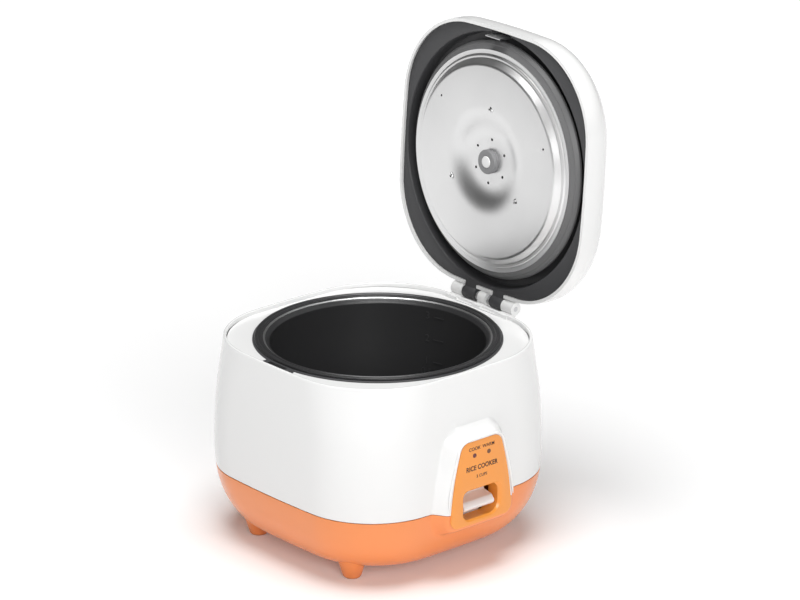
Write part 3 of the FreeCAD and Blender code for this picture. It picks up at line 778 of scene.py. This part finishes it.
modify(panel, "BEVEL", width=0.45 * MM, segments=3, limit_method="ANGLE", angle_limit=radians(30))

# %% Walls of the lever's recess
walls = draw("recess_walls", upright(rounded(OPENING, closed=True), PANEL_FRONT_Y + 2.2))
bpy.ops.mesh.select_all(action="SELECT")
bpy.ops.mesh.edge_face_add()
bpy.ops.mesh.delete(type="ONLY_FACE")
bpy.ops.mesh.select_all(action="SELECT")
bpy.ops.mesh.extrude_edges_move(TRANSFORM_OT_translate={"value": (0, RECESS_DEPTH * MM, 0)})
face_outwards()
modify(walls, "SOLIDIFY", thickness=1.2 * MM, offset=1.0)
join(panel, walls)
finish(panel, "cooker_body", panel_orange, ["control_panel"], angle=35)

# %% Raised border of the casing round the panel
BORDER = [
    (32.0, 57.0), (29.6, 76.0, 225.0), (19.9, 109.7, 9.2),
    (-19.9, 109.7, 9.2), (-29.6, 76.0, 225.0), (-32.0, 57.0),
]
border_line = rounded(BORDER, steps=10)
border = draw("panel_border", upright(border_line, PANEL_FRONT_Y + 0.5))
bpy.ops.object.mode_set(mode="OBJECT")
bpy.ops.object.convert(target="CURVE")
border = bpy.context.object
border.data.bevel_depth = 1.15 * MM
border.data.bevel_resolution = 4
border.data.use_fill_caps = True
line = border.data.splines[0].points
for i, point in enumerate(line):
    share = min(i, len(line) - 1 - i) / 4
    point.radius = min(1.0, 0.15 + 0.85 * share)
bpy.ops.object.convert(target="MESH")
border = bpy.context.object
finish(border, "cooker_body", white, angle=50)

# %% [markdown]
# ## Printed words
# The labels are thin text turned into meshes, a tenth of a millimetre proud of the panel, as
# ink would be. They say only what the lamps mean and what the appliance is.

# %% Words
ink = moulded("ink", (0.03, 0.012, 0.008), 0.5, ripple=0.0)


def lettering(text, place, size, thickness, stretch=1.0, bold=0.0, spacing=1.0):
    """Upright text as a thin mesh that faces -Y, with its middle at a place in millimetres."""
    deselect()
    bpy.ops.object.text_add()
    obj = bpy.context.object
    obj.data.body = text
    obj.data.align_x = "CENTER"
    obj.data.align_y = "CENTER"
    obj.data.size = size * MM
    obj.data.extrude = thickness * MM
    obj.data.offset = bold * MM
    obj.data.space_character = spacing
    bpy.ops.object.convert(target="MESH")
    obj = bpy.context.object
    obj.rotation_euler = (radians(90), 0, 0)
    obj.location = [v * MM for v in place]
    obj.scale.x = stretch
    bpy.ops.object.transform_apply(location=True, rotation=True, scale=True)
    return obj


INK_THICKNESS = 0.05


def word(text, x, z, height, stretch=1.0, bold=0.0):
    place = (x, PANEL_FRONT_Y - INK_THICKNESS, z)
    obj = lettering(text, place, height, INK_THICKNESS, stretch, bold, spacing=1.05)
    obj.name = obj.data.name = "word_" + text.replace(" ", "_").lower()
    finish(obj, "cooker_body", ink)


word("COOK", -7.0, 102.4, 3.7, bold=0.05)
word("WARM", 6.6, 102.4, 3.7, bold=0.05)
word("RICE COOKER", 0.2, 87.2, 5.2, stretch=0.88, bold=0.12)
word("3 CUPS", 0.2, 80.2, 3.2, bold=0.03)

# %% [markdown]
# ## Pot
# The pot is spun aluminium: satin outside, with a dark non-stick lining that runs over the
# stepped rim. Body and lining are two turned pieces, one inside the other, so each keeps its
# own finish and the edge between them is a real edge.

# %% Pot body and lining
pot_base = pot_low.z / MM
pot_top = pot_high.z / MM
pot_body = turned("pot_body", rounded([
    (0, pot_base + 1.3), (0, pot_base), (79.5, pot_base, 17.0), (82.9, pot_top - 3.4, 1.0),
    (84.4, pot_top - 2.2, 0.8), (91.0, pot_top - 1.9, 0.5), (91.6, pot_top - 1.2),
    (84.6, pot_top - 1.4, 0.6), (81.2, pot_top - 5.0, 1.0), (78.0, pot_base + 1.5, 15.3),
    (0, pot_base + 1.3),
]), steps=180)
finish(pot_body, "pot", pot_metal, ["inner_pot"], angle=30)
lining = turned("pot_lining", rounded([
    (0, pot_base + 1.55), (0, pot_base + 1.95), (77.6, pot_base + 1.95, 15.0),
    (81.0, pot_top - 4.6, 1.2), (83.0, pot_top - 2.2, 0.9), (85.2, pot_top - 1.9, 0.4),
    (85.9, pot_top - 0.5, 0.5), (87.4, pot_top - 0.15, 0.4), (88.2, pot_top - 0.7, 0.3),
    (89.0, pot_top - 0.7, 0.3), (89.7, pot_top - 0.1, 0.4), (91.4, pot_top - 0.1, 0.5),
    (92.0, pot_top - 0.8, 0.4), (91.9, pot_top - 1.5, 0.3), (90.8, pot_top - 1.75),
    (90.6, pot_top - 1.3), (84.9, pot_top - 2.2, 0.5), (82.6, pot_top - 2.8, 0.8),
    (80.7, pot_top - 4.8, 1.0), (77.95, pot_base + 1.55, 15.2), (0, pot_base + 1.55),
]), steps=180)
finish(lining, "pot", nonstick, ["pot_coating"], angle=30)

# %% [markdown]
# ## Water level marks
# Numbers and short lines stand just proud of the pot's wall. Each is flat text, made a mesh,
# and then its points are carried onto the round wall: sideways becomes an angle, and depth
# becomes a distance towards the axis.

# %% Level marks
MARK_AZIMUTH = radians(18)
MARK_HEIGHT = 0.12
WALL_LOW_RADIUS = 77.6
WALL_FLARE = 3.3
mark_metal = moulded("mark_relief", (0.05, 0.05, 0.052), 0.3, ripple=0.0)


def wall_radius(z):
    share = (z - pot_base) / (pot_top - pot_base)
    return WALL_LOW_RADIUS + WALL_FLARE * share


def onto_wall(obj):
    for vertex in obj.data.vertices:
        u, depth, z = vertex.co / MM
        radius = wall_radius(z) - 0.05 - max(depth, 0)
        angle = MARK_AZIMUTH - u / 80.0
        vertex.co = Vector((radius * cos(angle), radius * sin(angle), z)) * MM


marks = []
for text, z in (("3", 146.0), ("2", 128.0), ("1", 110.0), ("0.5", 101.0)):
    marks.append(lettering(text, (-4.0, 0.1, z), 8.0, MARK_HEIGHT))
    marks.append(lettering("—", (6.0, 0.1, z), 9.0, MARK_HEIGHT))
join(marks[0], *marks[1:])
level_marks = marks[0]
level_marks.name = level_marks.data.name = "level_marks"
onto_wall(level_marks)
finish(level_marks, "pot", mark_metal)

# %% [markdown]
# ## Lid frame
# The dark frame closes the inside of the lid. Its outline follows the lid, and its round
# opening has a small chamfer that catches the light, then a deep wall. It is a stack of rings
# again: outline, opening, chamfer, wall, floor, and back round to the outline.

# %% Stack of rings between the outline and circles
FRAME_Z = 160.2


LID_HALF = 101.9
LID_CORNER = 69.4
LID_REACH = 102.0


def frame_level(kind, size, z):
    """One ring: "square" is the lid's outline grown by a size, "round" is a circle."""
    places = []
    for x, y in outline(LID_HALF, LID_CORNER, 40, 40):
        scale = size / hypot(x, y) if kind == "round" else 1 + size / LID_REACH
        places.append((x * scale, y * scale, z))
    return places


def ring_stack(name, rings):
    """Stacks (kind, size, z) rings and closes the last on the first."""
    obj = stack(name, [frame_level(*ring) for ring in rings + rings[:1]])
    weld()
    face_outwards()
    return obj


frame_ring = ring_stack("lid_surround", [
    ("square", 0.0, FRAME_Z + 0.8), ("square", -0.25, FRAME_Z + 0.2), ("square", -0.8, FRAME_Z),
    ("round", 98.9, FRAME_Z), ("round", 98.3, FRAME_Z + 0.15), ("round", 97.8, FRAME_Z + 0.7),
    ("round", 97.6, FRAME_Z + 1.4), ("round", 97.2, 170.6), ("round", 96.4, 171.4),
    ("round", 70.0, 171.6), ("round", 70.0, 173.0), ("round", 98.4, 173.0),
    ("square", -0.6, FRAME_Z + 2.5),
])
NOTCH_HALF = 10.5
notch_corners = [
    (-110, -NOTCH_HALF), (-95.5, -NOTCH_HALF), (-95.5, NOTCH_HALF), (-110, NOTCH_HALF),
]
notch = draw("notch_tool", [Vector((x, y, 150)) * MM for x, y in notch_corners], closed=True)
extrude_all(0, 0, 15)
face_outwards()
cut(frame_ring, notch)

# %% Hinge arms of the frame
hinge_x, hinge_z = hinge.x / MM, hinge.z / MM
KNUCKLE_RADIUS = 5
ARM_WIDTH = 13.1
knuckle = [
    (hinge_x + KNUCKLE_RADIUS * cos(radians(a)), hinge_z + KNUCKLE_RADIUS * sin(radians(a)))
    for a in range(-160, 81, 12)
]
arm_outline = [(97.0, FRAME_Z + 0.3)] + knuckle + [(104.5, FRAME_Z + 5.2), (97.0, FRAME_Z + 5.2)]
arms = []
for low in (-21.8, 8.7):
    arm = prism("hinge_arm", arm_outline, low, ARM_WIDTH)
    modify(arm, "BEVEL", width=0.5 * MM, segments=2, limit_method="ANGLE", angle_limit=radians(50))
    arms.append(arm)
join(frame_ring, *arms)
open_lid(frame_ring)
finish(frame_ring, "lid", charcoal, ["lid_frame"], angle=30)

# %% [markdown]
# ## Gasket and knob
# The gasket is a soft skirt round the plate. It slopes back from the plate's edge, so it shows
# wide where it faces the eye and hides behind the plate on the far side. The knob that holds
# the plate is grey, with a white tip.

# %% Gasket
gasket_ring = turned("gasket_skirt", rounded([
    (82.0, 158.6), (85.0, 158.4, 0.3), (85.6, 158.9, 0.4), (88.0, 160.6, 0.5),
    (88.7, 160.7, 0.3), (91.1, 163.4, 0.6), (91.3, 165.2, 0.4), (90.2, 165.6, 0.4),
    (88.0, 163.0, 0.6), (84.0, 162.2, 0.6), (81.5, 162.2, 0.4), (82.0, 158.6),
]), steps=160)
open_lid(gasket_ring)
finish(gasket_ring, "sealing_plate", gasket, ["lid_gasket"], angle=40)

# %% Knob
knob_body = turned("knob_body", rounded([
    (0, 164.4), (3.2, 164.4), (3.2, 157.6), (9.2, 156.9, 0.4), (9.4, 153.0, 0.6),
    (8.6, 152.4, 0.4), (5.2, 152.5, 0.3), (4.8, 153.0, 0.3), (4.6, 152.6, 0.2),
    (0, 152.6), (0, 164.4),
]), steps=64)
open_lid(knob_body)
finish(knob_body, "sealing_plate", knob_grey, ["plate_knob"], angle=30)
knob_tip = turned("knob_tip", rounded([
    (0, 153.0), (4.6, 153.0, 0.2), (4.5, 152.0, 0.8), (0, 151.6), (0, 153.0),
]), steps=48)
open_lid(knob_tip)
finish(knob_tip, "sealing_plate", white, angle=50)

# %% [markdown]
# ## Sealing plate
# The plate is pressed from one sheet. Its ring stands about six millimetres proud of the outer
# flange, towards the pot, and the middle steps back again round the knob. Steam holes, slots
# and two pin holes go right through it.

# %% Sealing plate
FLANGE_Z = 157.7
RING_DEPTH = 5.8
SHEET = 0.8
LANCE_CIRCLE = 42.3
LANCES = {"lance_a": 183.0, "lance_b": 62.0, "lance_c": -57.5}
plate_face = [
    (84.8, 0.0), (81.5, 0.0, 1.0), (80.3, 1.2, 0.8), (78.3, 1.2, 1.6), (74.0, RING_DEPTH, 3.0),
    (37.0, RING_DEPTH, 34.0), (24.0, 1.0, 34.0), (3.2, 1.0),
]
plate_front = [(r, FLANGE_Z - depth, *blend) for r, depth, *blend in plate_face]
plate_back = [(r, z + SHEET, *blend) for r, z, *blend in reversed(plate_front)]
plate_sheet = turned("plate_sheet", rounded(plate_front + plate_back + plate_front[:1]), steps=160)
hole_places = [(1.1, 17.0, 2.0 + 60.0 * k) for k in range(6)]
hole_places += [(0.9, 66.0, angle) for angle in (127.0, 248.0)]
hole_places += [(1.1, LANCE_CIRCLE, angle) for angle in LANCES.values()]
for radius, out, angle in hole_places:
    deselect()
    bpy.ops.mesh.primitive_cylinder_add(
        vertices=20, radius=radius * MM, depth=16 * MM,
        location=(out * cos(radians(angle)) * MM, out * sin(radians(angle)) * MM, FLANGE_Z * MM),
    )
    drill = bpy.context.object
    bpy.ops.object.transform_apply(location=True, rotation=True, scale=True)
    cut(plate_sheet, drill)
open_lid(plate_sheet)
finish(plate_sheet, "sealing_plate", plate_metal, ["lid_plate"], angle=30)

# %% [markdown]
# ## Lances in the plate
# Three small tongues are pressed out of the plate to let steam by. Each is a short raised lip
# beside its slot: a circle primitive drawn out long, domed and thickened.

# %% Lances
LANCE_HALF_WIDTH = 1.26
LANCE_HALF_LENGTH = 2.64
LANCE_RISE = 1.1


def lance(name, angle_deg):
    x = LANCE_CIRCLE * cos(radians(angle_deg))
    y = LANCE_CIRCLE * sin(radians(angle_deg))
    deselect()
    bpy.ops.mesh.primitive_circle_add(vertices=24, radius=2.3 * MM, fill_type="TRIFAN")
    obj = bpy.context.object
    obj.name = obj.data.name = name
    bpy.ops.object.mode_set(mode="EDIT")
    bpy.ops.mesh.select_all(action="SELECT")
    bpy.ops.transform.resize(value=(0.55, 1.15, 1))
    bpy.ops.object.mode_set(mode="OBJECT")
    for vertex in obj.data.vertices:
        reach = hypot(vertex.co.x / LANCE_HALF_WIDTH, vertex.co.y / LANCE_HALF_LENGTH) / MM
        vertex.co.z = -LANCE_RISE * MM * max(0.0, 1 - reach * reach) + 0.1 * MM
    modify(obj, "SOLIDIFY", thickness=0.4 * MM, offset=0)
    modify(obj, "SUBSURF", levels=1, render_levels=1)
    obj.data.transform(
        Matrix.Translation(Vector((x, y, FLANGE_Z - RING_DEPTH - 0.1)) * MM)
        @ Matrix.Rotation(radians(angle_deg), 4, "Z")
        @ Matrix.Translation(Vector((-1.6 * MM, 0, 0)))
    )
    open_lid(obj)
    finish(obj, "sealing_plate", plate_metal, angle=60)


for name, angle_deg in LANCES.items():
    lance(name, angle_deg)
